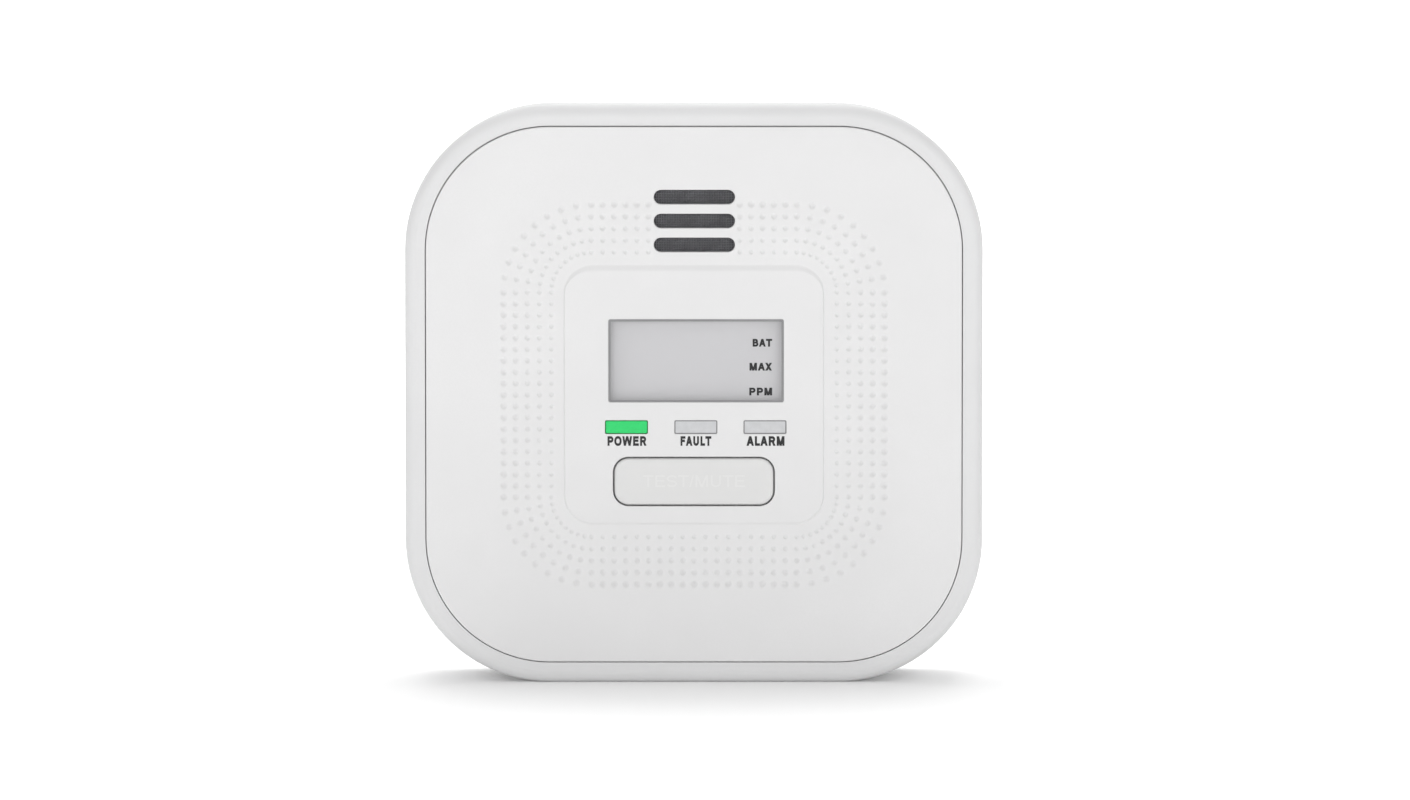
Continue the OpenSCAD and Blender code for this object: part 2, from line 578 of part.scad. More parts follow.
// ---- fasteners ----
module screw(x, z, y_seat, head_r, head_h, shank_r, shank_l) {
  difference() {
    union() {
      rod(head_r, y_seat, y_seat + head_h, x, z);
      rod(shank_r, y_seat - shank_l, y_seat + e, x, z);
    }
    // cross recess
    box(x - head_r * 0.6, x + head_r * 0.6, y_seat + head_h * 0.4, y_seat + head_h + 1, z - head_r * 0.13, z + head_r * 0.13);
    box(x - head_r * 0.13, x + head_r * 0.13, y_seat + head_h * 0.4, y_seat + head_h + 1, z - head_r * 0.6, z + head_r * 0.6);
  }
}
module housing_screws() color("#9a9da1") up()
  for (x = [-scr_x, scr_x], z = [-scr_z, scr_z]) screw(x, z, y_shell - 11, 2.9, 2, 1.45, 10);
module pcb_screws() color("#9a9da1") up()
  for (x = [-post_x, post_x], z = post_z) screw(x, z, y_pcb2, 1.9, 1.4, 0.95, 7.4);

front_cover();
rear_housing();
battery_door();
mounting_plate();
test_button();
switch_body();
switch_plunger();
lcd_window();
lcd_panel();
lcd_holder();
backlight_diffuser();
elastomer_strips();
light_pipe_power();
light_pipe_fault();
light_pipe_alarm();
led_power();
led_fault();
led_alarm();
main_pcb();
co_sensor_can();
co_sensor_cap();
co_sensor_pins();
vent_mesh();
buzzer_case();
piezo_disc();
buzzer_pins();
buzzer_gasket();
battery_upper();
battery_middle();
battery_lower();
battery_springs();
battery_contacts();
battery_lead_red();
battery_lead_black();
mcu_chip();
capacitor();
inductor();
chip_parts();
housing_screws();
pcb_screws();
rating_label();
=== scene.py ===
"""Carbon monoxide alarm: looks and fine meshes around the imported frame. Metres, +Z up, front faces -Y."""

import math

import bpy
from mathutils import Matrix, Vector
from mathutils.geometry import delaunay_2d_cdt


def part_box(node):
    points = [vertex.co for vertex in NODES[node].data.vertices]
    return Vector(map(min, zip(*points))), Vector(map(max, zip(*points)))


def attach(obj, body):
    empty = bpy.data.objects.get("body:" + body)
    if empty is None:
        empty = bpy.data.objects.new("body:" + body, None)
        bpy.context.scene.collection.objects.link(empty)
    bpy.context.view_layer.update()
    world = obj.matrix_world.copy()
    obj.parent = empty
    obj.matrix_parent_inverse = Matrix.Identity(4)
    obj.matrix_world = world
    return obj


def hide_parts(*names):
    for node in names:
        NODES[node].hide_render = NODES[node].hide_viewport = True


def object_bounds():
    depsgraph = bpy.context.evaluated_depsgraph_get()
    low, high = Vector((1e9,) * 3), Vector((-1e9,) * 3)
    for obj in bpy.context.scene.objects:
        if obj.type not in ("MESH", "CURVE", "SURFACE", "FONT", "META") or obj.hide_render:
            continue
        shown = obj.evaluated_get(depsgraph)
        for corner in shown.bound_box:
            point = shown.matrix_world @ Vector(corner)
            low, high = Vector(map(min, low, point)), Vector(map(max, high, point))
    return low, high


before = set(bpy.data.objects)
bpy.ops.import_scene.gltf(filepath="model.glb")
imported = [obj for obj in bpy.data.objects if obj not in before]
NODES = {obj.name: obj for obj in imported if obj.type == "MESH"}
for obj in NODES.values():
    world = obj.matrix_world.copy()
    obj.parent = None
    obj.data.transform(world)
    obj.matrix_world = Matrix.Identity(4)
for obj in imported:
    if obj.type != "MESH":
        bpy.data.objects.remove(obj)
cad_low, cad_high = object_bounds()
cad_low, cad_high = [float(v) for v in cad_low], [float(v) for v in cad_high]
MM = 0.001
scene = bpy.context.scene

# ------------------------------------------------------------------ camera
cover_lo, cover_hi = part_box("front_cover")
hous_lo, hous_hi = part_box("rear_housing")
ZC = (hous_lo[2] + hous_hi[2]) / 2          # height of the middle of the front
MID = Vector((0.0, cover_lo[1], ZC))
CAM_DIST, CAM_ELEV = 1.5, math.radians(3.5)
cam_data = bpy.data.cameras.new("camera")
cam = bpy.data.objects.new("camera", cam_data)
scene.collection.objects.link(cam)
scene.camera = cam
cam_data.sensor_width = 36.0
cam_data.lens = 184.6
cam.location = MID + CAM_DIST * Vector((0.0, -math.cos(CAM_ELEV), math.sin(CAM_ELEV)))
aim = MID + Vector((0.0023, 0.0, -0.00105))
cam.rotation_euler = (aim - cam.location).to_track_quat("-Z", "Y").to_euler()
cam_data.clip_start, cam_data.clip_end = 0.01, 50.0
scene.view_settings.view_transform = "Standard"
scene.view_settings.look = "None"


# ------------------------------------------------------------------ materials
def material(name):
    m = bpy.data.materials.new(name)
    m.use_nodes = True
    nt = m.node_tree
    nt.nodes.clear()
    out = nt.nodes.new("ShaderNodeOutputMaterial")
    return m, nt, out


def noise(nt, coord, scale, detail=3.0, rough=0.55, distortion=0.0):
    n = nt.nodes.new("ShaderNodeTexNoise")
    n.inputs["Scale"].default_value = scale
    n.inputs["Detail"].default_value = detail
    n.inputs["Roughness"].default_value = rough
    n.inputs["Distortion"].default_value = distortion
    nt.links.new(coord, n.inputs["Vector"])
    return n.outputs["Fac"]


def ramp(nt, fac, stops):
    r = nt.nodes.new("ShaderNodeMapRange")
    r.inputs["From Min"].default_value, r.inputs["From Max"].default_value = stops[0], stops[1]
    r.inputs["To Min"].default_value, r.inputs["To Max"].default_value = stops[2], stops[3]
    nt.links.new(fac, r.inputs["Value"])
    return r.outputs["Result"]


def math_node(nt, op, a, b=None):
    n = nt.nodes.new("ShaderNodeMath")
    n.operation = op
    for i, v in enumerate((a, b)):
        if v is None:
            continue
        if hasattr(v, "links"):
            nt.links.new(v, n.inputs[i])
        else:
            n.inputs[i].default_value = v
    return n.outputs[0]


def mix_rgb(nt, fac, a, b):
    m = nt.nodes.new("ShaderNodeMix")
    m.data_type = "RGBA"
    for key, v in (("A", a), ("B", b)):
        s = [i for i in m.inputs if i.name == key and i.type == "RGBA"][0]
        if hasattr(v, "links"):
            nt.links.new(v, s)
        else:
            s.default_value = (*v, 1.0)
    f = [i for i in m.inputs if i.name == "Factor" and i.type == "VALUE"][0]
    if hasattr(fac, "links"):
        nt.links.new(fac, f)
    else:
        f.default_value = fac
    return [o for o in m.outputs if o.type == "RGBA"][0]


def bump(nt, height, strength, distance, normal=None):
    b = nt.nodes.new("ShaderNodeBump")
    b.inputs["Strength"].default_value = strength
    b.inputs["Distance"].default_value = distance
    nt.links.new(height, b.inputs["Height"])
    if normal is not None:
        nt.links.new(normal, b.inputs["Normal"])
    return b.outputs["Normal"]


def scaled(c, k):
    return tuple(min(1.0, v * k) for v in c)


def principled(nt, out, spec=0.5, metallic=0.0):
    p = nt.nodes.new("ShaderNodeBsdfPrincipled")
    p.inputs["Specular IOR Level"].default_value = spec
    p.inputs["Metallic"].default_value = metallic
    nt.links.new(p.outputs["BSDF"], out.inputs["Surface"])
    return p


def object_coord(nt):
    return nt.nodes.new("ShaderNodeTexCoord").outputs["Object"]


def plastic(name, color, rough=0.42, grain=2600.0, depth=0.000012, tone=0.02, wear=0.05, spec=0.4, crease_shade=0.05, dimple_shade=0.0):
    """Moulded plastic: fine spark-eroded grain, slow tone drift, rubbed edges, painted shade darkening the creases and,
    when asked, painted shade in the dimples.
    """
    m, nt, out = material(name)
    p = principled(nt, out, spec)
    co = object_coord(nt)
    slow = noise(nt, co, 38.0, 3.0, 0.5, 0.4)
    fine = noise(nt, co, grain, 2.0, 0.6)
    coarse = noise(nt, co, grain / 4.5, 2.0, 0.5)
    col = mix_rgb(nt, ramp(nt, slow, (0.3, 0.7, 0.0, 1.0)), scaled(color, 1 - tone), scaled(color, 1 + tone))
    col = mix_rgb(nt, ramp(nt, fine, (0.35, 0.65, 0.0, 0.5)), col, scaled(color, 1 - tone * 0.8))
    geo = nt.nodes.new("ShaderNodeNewGeometry")
    edge = ramp(nt, geo.outputs["Pointiness"], (0.52, 0.6, 0.0, wear))
    col = mix_rgb(nt, edge, col, scaled(color, 1.1))
    # painted shade: concave creases (low pointiness) are darkened towards 0.6 of the colour, as if shaded
    hollow_shade = ramp(nt, geo.outputs["Pointiness"], (0.40, 0.485, crease_shade, 0.0))
    col = mix_rgb(nt, hollow_shade, col, scaled(color, 0.6))
    # painted shade in the dimples: the colour darkens towards half its value deep in each dimple, by the per-vertex
    # depth
    if dimple_shade:
        at_ = nt.nodes.new("ShaderNodeAttribute")
        at_.attribute_name = "hollow_shade"
        col = mix_rgb(nt, ramp(nt, at_.outputs["Fac"], (0.0, 1.0, 0.0, dimple_shade)), col, scaled(color, 0.5))
    nt.links.new(col, p.inputs["Base Color"])
    nt.links.new(ramp(nt, noise(nt, co, 160.0, 3.0, 0.6), (0.3, 0.7, rough - 0.05, rough + 0.07)), p.inputs["Roughness"])
    n1 = bump(nt, coarse, 0.35, depth * 1.6)
    nt.links.new(bump(nt, fine, 0.6, depth, n1), p.inputs["Normal"])
    return m


def metal(name, color, rough=0.28, scratch=900.0, streaks=(1.0, 0.18, 1.0)):
    """Plated or rolled metal: brushed streaks in the roughness, faint stains."""
    m, nt, out = material(name)
    p = principled(nt, out, 0.5, 1.0)
    tc = object_coord(nt)
    mp = nt.nodes.new("ShaderNodeMapping")
    mp.inputs["Scale"].default_value = streaks
    nt.links.new(tc, mp.inputs["Vector"])
    streak = noise(nt, mp.outputs["Vector"], scratch, 3.0, 0.7)
    stain = noise(nt, tc, 260.0, 4.0, 0.6, 0.5)
    col = mix_rgb(nt, ramp(nt, stain, (0.35, 0.7, 0.0, 1.0)), scaled(color, 1.06), scaled(color, 0.78))
    nt.links.new(col, p.inputs["Base Color"])
    nt.links.new(ramp(nt, streak, (0.3, 0.7, rough - 0.1, rough + 0.14)), p.inputs["Roughness"])
    nt.links.new(bump(nt, streak, 0.3, 0.000008), p.inputs["Normal"])
    return m


def dress(node, mat):
    """Gives a CAD node its finished material."""
    o = NODES[node]
    o.data.materials.clear()
    o.data.materials.append(mat)
    return o


SHELL = (0.635, 0.635, 0.638)
COVER = (0.662, 0.660, 0.662)
# the cover's dimples get painted shade, up to 0.15 of the way towards half the colour
cover_mat = plastic("cover_white", COVER, rough=0.5, depth=0.000005, spec=0.28, dimple_shade=0.15)
shell_mat = plastic("housing_white", SHELL, rough=0.52, grain=2200.0, depth=0.00001, wear=0.05, spec=0.22)
plate_mat = plastic("plate_white", (0.62, 0.62, 0.622), rough=0.5, grain=1800.0, depth=0.00002, wear=0.12)
button_mat = plastic("button_grey", (0.615, 0.615, 0.611), rough=0.44, grain=3000.0)
natural_mat = plastic("natural_plastic", (0.78, 0.78, 0.75), rough=0.4, grain=3000.0)
black_mat = plastic("black_plastic", (0.022, 0.022, 0.024), rough=0.5, grain=3200.0, tone=0.15, wear=0.3)
steel_mat = metal("screw_steel", (0.56, 0.57, 0.59), 0.3)
nickel_mat = metal("nickel", (0.62, 0.6, 0.57), 0.24)
brass_mat = metal("brass_pins", (0.74, 0.56, 0.27), 0.28)

for n, m in (("front_cover", cover_mat), ("rear_housing", shell_mat), ("battery_door", shell_mat), ("mounting_plate", plate_mat),
             ("test_button", button_mat), ("lcd_holder", natural_mat), ("switch_plunger", natural_mat), ("switch_body", black_mat),
             ("buzzer_case", black_mat), ("mcu_chip", black_mat), ("housing_screws", steel_mat), ("pcb_screws", steel_mat),
             ("co_sensor_can", nickel_mat), ("battery_springs", nickel_mat), ("battery_contacts", nickel_mat),
             ("co_sensor_pins", brass_mat), ("buzzer_pins", brass_mat), ("piezo_disc", brass_mat), ("co_sensor_cap", natural_mat)):
    dress(n, m)


def display_glass(name, color, glow):
    """Reflective display: even grey polariser with a faint fine pixel grain, and a faint glow of its own that is
    painted light, evening out the shade in its recess.
    """
    m, nt, out = material(name)
    p = principled(nt, out, 0.35)
    co = object_coord(nt)
    cells = noise(nt, co, 1500.0, 1.0, 0.5)
    slow = noise(nt, co, 60.0, 2.0, 0.5, 0.3)
    col = mix_rgb(nt, ramp(nt, slow, (0.3, 0.7, 0.0, 1.0)), scaled(color, 0.985), scaled(color, 1.015))
    col = mix_rgb(nt, ramp(nt, cells, (0.35, 0.65, 0.0, 0.4)), col, scaled(color, 0.99))
    nt.links.new(col, p.inputs["Base Color"])
    nt.links.new(ramp(nt, slow, (0.3, 0.7, 0.3, 0.38)), p.inputs["Roughness"])
    # painted light: the switched-off display glows a little to lift the shade inside its recess
    p.inputs["Emission Color"].default_value = (*color, 1.0)
    p.inputs["Emission Strength"].default_value = glow
    return m


lcd_mat = display_glass("lcd_grey", (0.405, 0.403, 0.41), 0.3)
dress("lcd_panel", lcd_mat)
dress("backlight_diffuser", plastic("diffuser", (0.85, 0.85, 0.83), rough=0.5))
dress("elastomer_strips", plastic("dark_rubber", (0.05, 0.05, 0.055), rough=0.7, tone=0.1))
dress("buzzer_gasket", plastic("foam", (0.05, 0.05, 0.055), rough=0.85, grain=1500.0, depth=0.00015, tone=0.3))
screen_mat = metal("screen_grey", (0.21, 0.21, 0.222), 0.5)
felt_mat = plastic("vent_felt_grey", (0.1, 0.1, 0.106), rough=0.85, grain=2600.0, depth=0.00006, tone=0.15, wear=0.0, crease_shade=0.0)
dress("vent_mesh", screen_mat)


def board(name):
    """Solder mask over copper: green film, lighter where tracks run under it."""
    m, nt, out = material(name)
    p = principled(nt, out, 0.5)
    co = object_coord(nt)
    br = nt.nodes.new("ShaderNodeTexBrick")
    nt.links.new(co, br.inputs["Vector"])
    mp = nt.nodes.new("ShaderNodeMapping")
    mp.inputs["Rotation"].default_value = (math.radians(90), 0, 0)
    nt.links.new(co, mp.inputs["Vector"])
    nt.links.new(mp.outputs["Vector"], br.inputs["Vector"])
    br.inputs["Scale"].default_value = 420.0
    br.inputs["Mortar Size"].default_value = 0.05
    br.inputs["Mortar Smooth"].default_value = 0.2
    tracks = ramp(nt, br.outputs["Fac"], (0.2, 0.8, 0.0, 1.0))
    f = noise(nt, co, 300.0, 3.0, 0.5)
    base = mix_rgb(nt, ramp(nt, f, (0.3, 0.7, 0, 1)), (0.018, 0.115, 0.045), (0.026, 0.15, 0.06))
    col = mix_rgb(nt, tracks, base, (0.05, 0.22, 0.085))
    nt.links.new(col, p.inputs["Base Color"])
    nt.links.new(ramp(nt, f, (0.3, 0.7, 0.22, 0.36)), p.inputs["Roughness"])
    nt.links.new(bump(nt, tracks, 0.5, 0.00002), p.inputs["Normal"])
    return m


dress("main_pcb", board("board_green"))
for n in ("led_power", "led_fault", "led_alarm"):
    dress(n, plastic("led_resin_" + n, (0.8, 0.78, 0.6), rough=0.2))
dress("capacitor", plastic("capacitor_sleeve", (0.03, 0.04, 0.16), rough=0.3, tone=0.1))
dress("inductor", plastic("ferrite", (0.05, 0.05, 0.055), rough=0.6, tone=0.2))
dress("chip_parts", plastic("chip_ceramic", (0.35, 0.24, 0.14), rough=0.4, tone=0.2))
dress("battery_lead_red", plastic("wire_red", (0.45, 0.02, 0.015), rough=0.4))
dress("battery_lead_black", plastic("wire_black", (0.015, 0.015, 0.015), rough=0.4))
dress("rating_label", plastic("label_white", (0.66, 0.66, 0.655), rough=0.35, grain=4000.0, depth=0.000004))


def cell_wrap(name, sign):
    """Printed sleeve of a cell: plain bands along its length, bare metal at the ends."""
    m, nt, out = material(name)
    p = principled(nt, out, 0.5, 0.0)
    co = object_coord(nt)
    sep = nt.nodes.new("ShaderNodeSeparateXYZ")
    nt.links.new(co, sep.inputs[0])
    x = math_node(nt, "MULTIPLY", sep.outputs["X"], sign)
    band = ramp(nt, x, (0.0095, 0.0100, 0.0, 1.0))
    bare = math_node(nt, "GREATER_THAN", x, 0.0236)
    tail = math_node(nt, "LESS_THAN", x, -0.0188)
    metalness = math_node(nt, "MAXIMUM", bare, tail)
    scuff = noise(nt, co, 500.0, 4.0, 0.65, 0.6)
    body = mix_rgb(nt, ramp(nt, scuff, (0.35, 0.75, 0.0, 1.0)), (0.035, 0.10, 0.17), (0.05, 0.135, 0.22))
    col = mix_rgb(nt, band, body, (0.62, 0.62, 0.60))
    col = mix_rgb(nt, metalness, col, (0.6, 0.59, 0.57))
    nt.links.new(col, p.inputs["Base Color"])
    nt.links.new(metalness, p.inputs["Metallic"])
    nt.links.new(ramp(nt, scuff, (0.3, 0.7, 0.2, 0.36)), p.inputs["Roughness"])
    nt.links.new(bump(nt, scuff, 0.2, 0.00001), p.inputs["Normal"])
    return m


right_cell, left_cell = cell_wrap("cell_wrap_right", 1.0), cell_wrap("cell_wrap_left", -1.0)
dress("battery_lower", right_cell)
dress("battery_middle", left_cell)
dress("battery_upper", right_cell)


def lens(name, color, glow=0.0):
    m, nt, out = material(name)
    p = principled(nt, out, 0.25)
    co = object_coord(nt)
    f = noise(nt, co, 900.0, 3.0, 0.5)
    nt.links.new(mix_rgb(nt, ramp(nt, f, (0.3, 0.7, 0, 1)), scaled(color, 0.96), scaled(color, 1.04)), p.inputs["Base Color"])
    nt.links.new(ramp(nt, noise(nt, co, 2400.0), (0.3, 0.7, 0.26, 0.36)), p.inputs["Roughness"])
    nt.links.new(bump(nt, f, 0.2, 0.000006), p.inputs["Normal"])
    if glow:
        p.inputs["Emission Color"].default_value = (*color, 1.0)
        p.inputs["Emission Strength"].default_value = glow
    return m


dress("light_pipe_power", lens("lens_green", (0.012, 0.49, 0.115), 0.165))
grey_lens = lens("lens_grey", (0.5, 0.505, 0.516))
dress("light_pipe_fault", grey_lens)
dress("light_pipe_alarm", grey_lens)


def pane(name):
    """Clear moulded window: almost no tint, a soft reflection and faint hazing."""
    m, nt, out = material(name)
    clear = nt.nodes.new("ShaderNodeBsdfTransparent")
    clear.inputs["Color"].default_value = (0.99, 0.99, 0.992, 1.0)
    shine = nt.nodes.new("ShaderNodeBsdfGlossy")
    co = object_coord(nt)
    haze = noise(nt, co, 220.0, 3.0, 0.6)
    nt.links.new(ramp(nt, haze, (0.3, 0.7, 0.05, 0.14)), shine.inputs["Roughness"])
    lw = nt.nodes.new("ShaderNodeLayerWeight")
    lw.inputs["Blend"].default_value = 0.5
    graze = math_node(nt, "POWER", lw.outputs["Facing"], 5.0)
    mx = nt.nodes.new("ShaderNodeMixShader")
    nt.links.new(ramp(nt, graze, (0.0, 1.0, 0.0, 0.7)), mx.inputs["Fac"])
    nt.links.new(clear.outputs["BSDF"], mx.inputs[1])
    nt.links.new(shine.outputs["BSDF"], mx.inputs[2])
    nt.links.new(mx.outputs["Shader"], out.inputs["Surface"])
    return m


dress("lcd_window", pane("clear_window"))
relief_mat = plastic("button_relief", (0.65, 0.65, 0.645), rough=0.44, grain=3000.0, wear=0.0, crease_shade=0.0)
ink_mat = plastic("ink_black", (0.012, 0.012, 0.013), rough=0.55, grain=6000.0, depth=0.000003, tone=0.2, wear=0.0, crease_shade=0.0)


# ------------------------------------------------------------------ mesh building
class Shell:
    """A mesh put together in millimetres, x right, y back, z up from the middle of the front, with a normal for every face corner."""

    def __init__(self):
        self.v, self.f, self.n = [], [], []
        self.shade = {}                          # how deep in a hollow a vertex is, 0 to 1; the material paints shade by it

    def verts(self, pts):
        k = len(self.v)
        self.v.extend(pts)
        return list(range(k, k + len(pts)))

    def face(self, idx, normals=None):
        a, b, c = (Vector(self.v[i]) for i in idx[:3])
        g = (b - a).cross(c - a)
        if len(idx) == 4:
            g = g + (c - a).cross(Vector(self.v[idx[3]]) - a)
        if g.length < 1e-12:
            return
        g.normalize()
        if normals is None:
            normals = [g] * len(idx)
        elif not isinstance(normals, list):
            normals = [normals] * len(idx)
        mean = sum((Vector(n) for n in normals), Vector())
        if g.dot(mean) < 0:
            idx, normals = idx[::-1], normals[::-1]
        self.f.append(idx)
        self.n.append([Vector(n).normalized() for n in normals])

    def strip(self, ra, rb, na, nb, closed=True):
        """Quads between two rings of equal length, with the corner normals of each ring."""
        m = len(ra)
        for i in range(m if closed else m - 1):
            j = (i + 1) % m
            self.face([ra[i], ra[j], rb[j], rb[i]], [na[i], na[j], nb[j], nb[i]])

    def build(self, name, mat, body, replaces=()):
        me = bpy.data.meshes.new(name)
        me.from_pydata([(x * MM, y * MM, z * MM + ZC) for x, y, z in self.v], [], self.f)
        for p in me.polygons:
            p.use_smooth = True
        me.normals_split_custom_set([n for ns in self.n for n in ns])
        if self.shade:
            # per-vertex depth in the dimples, which the material paints as shade
            at_ = me.attributes.new("hollow_shade", "FLOAT", "POINT")
            for i, v in self.shade.items():
                at_.data[i].value = v
        me.update()
        me.materials.append(mat)
        o = bpy.data.objects.new(name, me)
        scene.collection.objects.link(o)
        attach(o, body)
        if replaces:
            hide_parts(*replaces)
        return o


def rrect(w, h, r, n=8, cx=0.0, cz=0.0):
    """Rounded rectangle, counter-clockwise seen from the front: points and outward directions."""
    pts, out = [], []
    for k, (sx, sz) in enumerate(((1, 1), (-1, 1), (-1, -1), (1, -1))):
        for i in range(n + 1):
            a = math.radians(90 * k + 90 * i / n)
            d = (math.cos(a), math.sin(a))
            pts.append((cx + sx * (w / 2 - r) + r * d[0], cz + sz * (h / 2 - r) + r * d[1]))
            out.append(d)
    return pts, out


def at(pts, y):
    return [(x, y, z) for x, z in pts]


def side(out, k=1.0, fwd=0.0):
    """Normals that point k outwards and fwd to the front."""
    return [(k * a, -fwd, k * b) for a, b in out]


def flat(shell, y, outer, holes, normal):
    """Flat sheet at y inside the outer loop and outside the convex holes; loops are vertex numbers of the shell."""
    loops = [outer] + holes
    pts, edges, owner, back = [], [], [], []
    for li, loop in enumerate(loops):
        k = len(pts)
        for i, vi in enumerate(loop):
            x, _, z = shell.v[vi]
            pts.append(Vector((x, z)))
            owner.append(li)
            back.append(vi)
            edges.append((k + i, k + (i + 1) % len(loop)))
    vo, eo, fo, ov, oe, of_ = delaunay_2d_cdt(pts, edges, [], 0, 1e-7)
    idx = []
    for i in range(len(vo)):
        idx.append(ov[i][0] if ov[i] else -1)
    for f in fo:
        src = [idx[i] for i in f]
        if min(src) < 0:
            continue
        own = {owner[s] for s in src}
        if len(own) == 1 and 0 not in own:
            continue
        shell.face([back[s] for s in src], normal)


FRONT, BACK = Vector((0, -1, 0)), Vector((0, 1, 0))


def quarter(shell, w, h, r, y0, rad, inset, n, nc, cx=0.0, cz=0.0, first=None):
    """Rolls an edge from the front round to the side. inset True for an outside edge, False for the mouth of an opening.
    Returns (vertex loop at the front, vertex loop at the side)."""
    loops = []
    sgn = 1 if inset else -1
    for i in range(n + 1):
        t = math.radians(90 * i / n)
        off = rad * (1 - math.sin(t))            # distance still to go outwards (or inwards)
        y = y0 + rad * (1 - math.cos(t))
        pts, out = rrect(w - 2 * sgn * off, h - 2 * sgn * off, r - sgn * off, nc, cx, cz)
        ids = first if (i == 0 and first) else shell.verts(at(pts, y))
        loops.append((ids, side(out, sgn * math.sin(t), math.cos(t))))
    for (a, na), (b, nb) in zip(loops, loops[1:]):
        shell.strip(a, b, na, nb)
    return loops[0][0], loops[-1][0]


def wall(shell, loop, out, y1, w, h, r, nc, cx=0.0, cz=0.0, sgn=1):
    pts, _ = rrect(w, h, r, nc, cx, cz)
    b = shell.verts(at(pts, y1))
    n = side(out, sgn)
    shell.strip(loop, b, n, n)
    return b


def lathe(shell, x, z, prof, seg=28):
    """Turned solid about an axis along Y; prof is (radius, y) from one end of the axis to the other, corners kept sharp."""
    rings = []
    for r, y in prof:
        if r < 1e-6:
            rings.append(shell.verts([(x, y, z)]))
        else:
            rings.append(shell.verts([(x + r * math.cos(2 * math.pi * i / seg), y, z + r * math.sin(2 * math.pi * i / seg)) for i in range(seg)]))
    for (r0, y0), (r1, y1), a, b in zip(prof, prof[1:], rings, rings[1:]):
        d = Vector((r1 - r0, y1 - y0))
        if d.length < 1e-9:
            continue
        nr, ny = d.y / d.length, -d.x / d.length   # right of the travel direction in (r, y)
        norm = [Vector((nr * math.cos(2 * math.pi * i / seg), ny, nr * math.sin(2 * math.pi * i / seg))) for i in range(seg)]
        for i in range(seg):
            j = (i + 1) % seg
            if len(a) == 1:
                shell.face([a[0], b[j], b[i]], [Vector((0, ny, 0)) if abs(ny) > 0.99 else norm[i], norm[j], norm[i]])
            elif len(b) == 1:
                shell.face([a[i], a[j], b[0]], [norm[i], norm[j], Vector((0, ny, 0)) if abs(ny) > 0.99 else norm[i]])
            else:
                shell.face([a[i], a[j], b[j], b[i]], [norm[i], norm[j], norm[j], norm[i]])


def block(shell, x0, x1, y0, y1, z0, z1):
    v = shell.verts([(x, y, z) for x in (x0, x1) for y in (y0, y1) for z in (z0, z1)])
    for q, n in (((0, 1, 3, 2), (-1, 0, 0)), ((4, 5, 7, 6), (1, 0, 0)), ((0, 1, 5, 4), (0, -1, 0)), ((2, 3, 7, 6), (0, 1, 0)),
                 ((0, 2, 6, 4), (0, 0, -1)), ((1, 3, 7, 5), (0, 0, 1))):
        shell.face([v[i] for i in q], Vector(n))


def tube_ring(shell, w, h, r, wi, hi, ri, y0, y1, nc, cz=0.0):
    """Closed ring of rounded-rectangle section between an outer and an inner outline."""
    po, oo = rrect(w, h, r, nc, 0.0, cz)
    pi, oi = rrect(wi, hi, ri, nc, 0.0, cz)
    a, b = shell.verts(at(po, y0)), shell.verts(at(po, y1))
    c, d = shell.verts(at(pi, y0)), shell.verts(at(pi, y1))
    shell.strip(a, b, side(oo), side(oo))
    shell.strip(c, d, side(oi, -1), side(oi, -1))
    shell.strip(b, d, [BACK] * len(b), [BACK] * len(b))
    shell.strip(a, c, [FRONT] * len(a), [FRONT] * len(a))


# levels and sizes from the CAD, in mm
Y_COVER = (cover_lo[1] / MM) + 0.35            # cover face
Y_PANEL = cover_lo[1] / MM                     # raised panel's face
Y_BACK = Y_COVER + 2.2
win_lo, win_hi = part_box("lcd_window")
btn_lo, btn_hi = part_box("test_button")
BTN_Z = ((btn_lo[2] + btn_hi[2]) / 2 - ZC) / MM
LCD_X = (win_lo[0] + win_hi[0]) / 2 / MM
LCD_Z = ((win_lo[2] + win_hi[2]) / 2 - ZC) / MM
LAMPS = []
for n in ("light_pipe_power", "light_pipe_fault", "light_pipe_alarm"):
    lo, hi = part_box(n)
    LAMPS.append(((lo[0] + hi[0]) / 2 / MM, ((lo[2] + hi[2]) / 2 - ZC) / MM))
COV_W, COV_R = 111.0, 25.5
PANEL_W, PANEL_R = 54.1, 6.2
SLOT_L, SLOT_H, SLOT_X, SLOT_Z, SLOT_PITCH = 16.8, 2.95, 0.1, 36.1, 4.95
DIM_OUT, DIM_IN, DIM_C = 39.5, 29.6, 21.3
DIM_DEEP = 0.22


def dimple_places():
    for i in range(5):
        h = DIM_OUT + (DIM_IN - DIM_OUT) * i / 4
        r = 0.93 - 0.3 * i / 4
        for s in range(4):
            ca, sa = (1, 0, -1, 0)[s], (0, 1, 0, -1)[s]
            pts = [(k * DIM_C / 9, h) for k in range(-9, 10) if s > 0 or abs(k) > 3]
            pts += [(DIM_C + (h - DIM_C) * math.sin(math.radians(t)), DIM_C + (h - DIM_C) * math.cos(math.radians(t))) for t in range(10, 90, 10)]
            for x, z in pts:
                yield x * ca + z * sa, -x * sa + z * ca, r


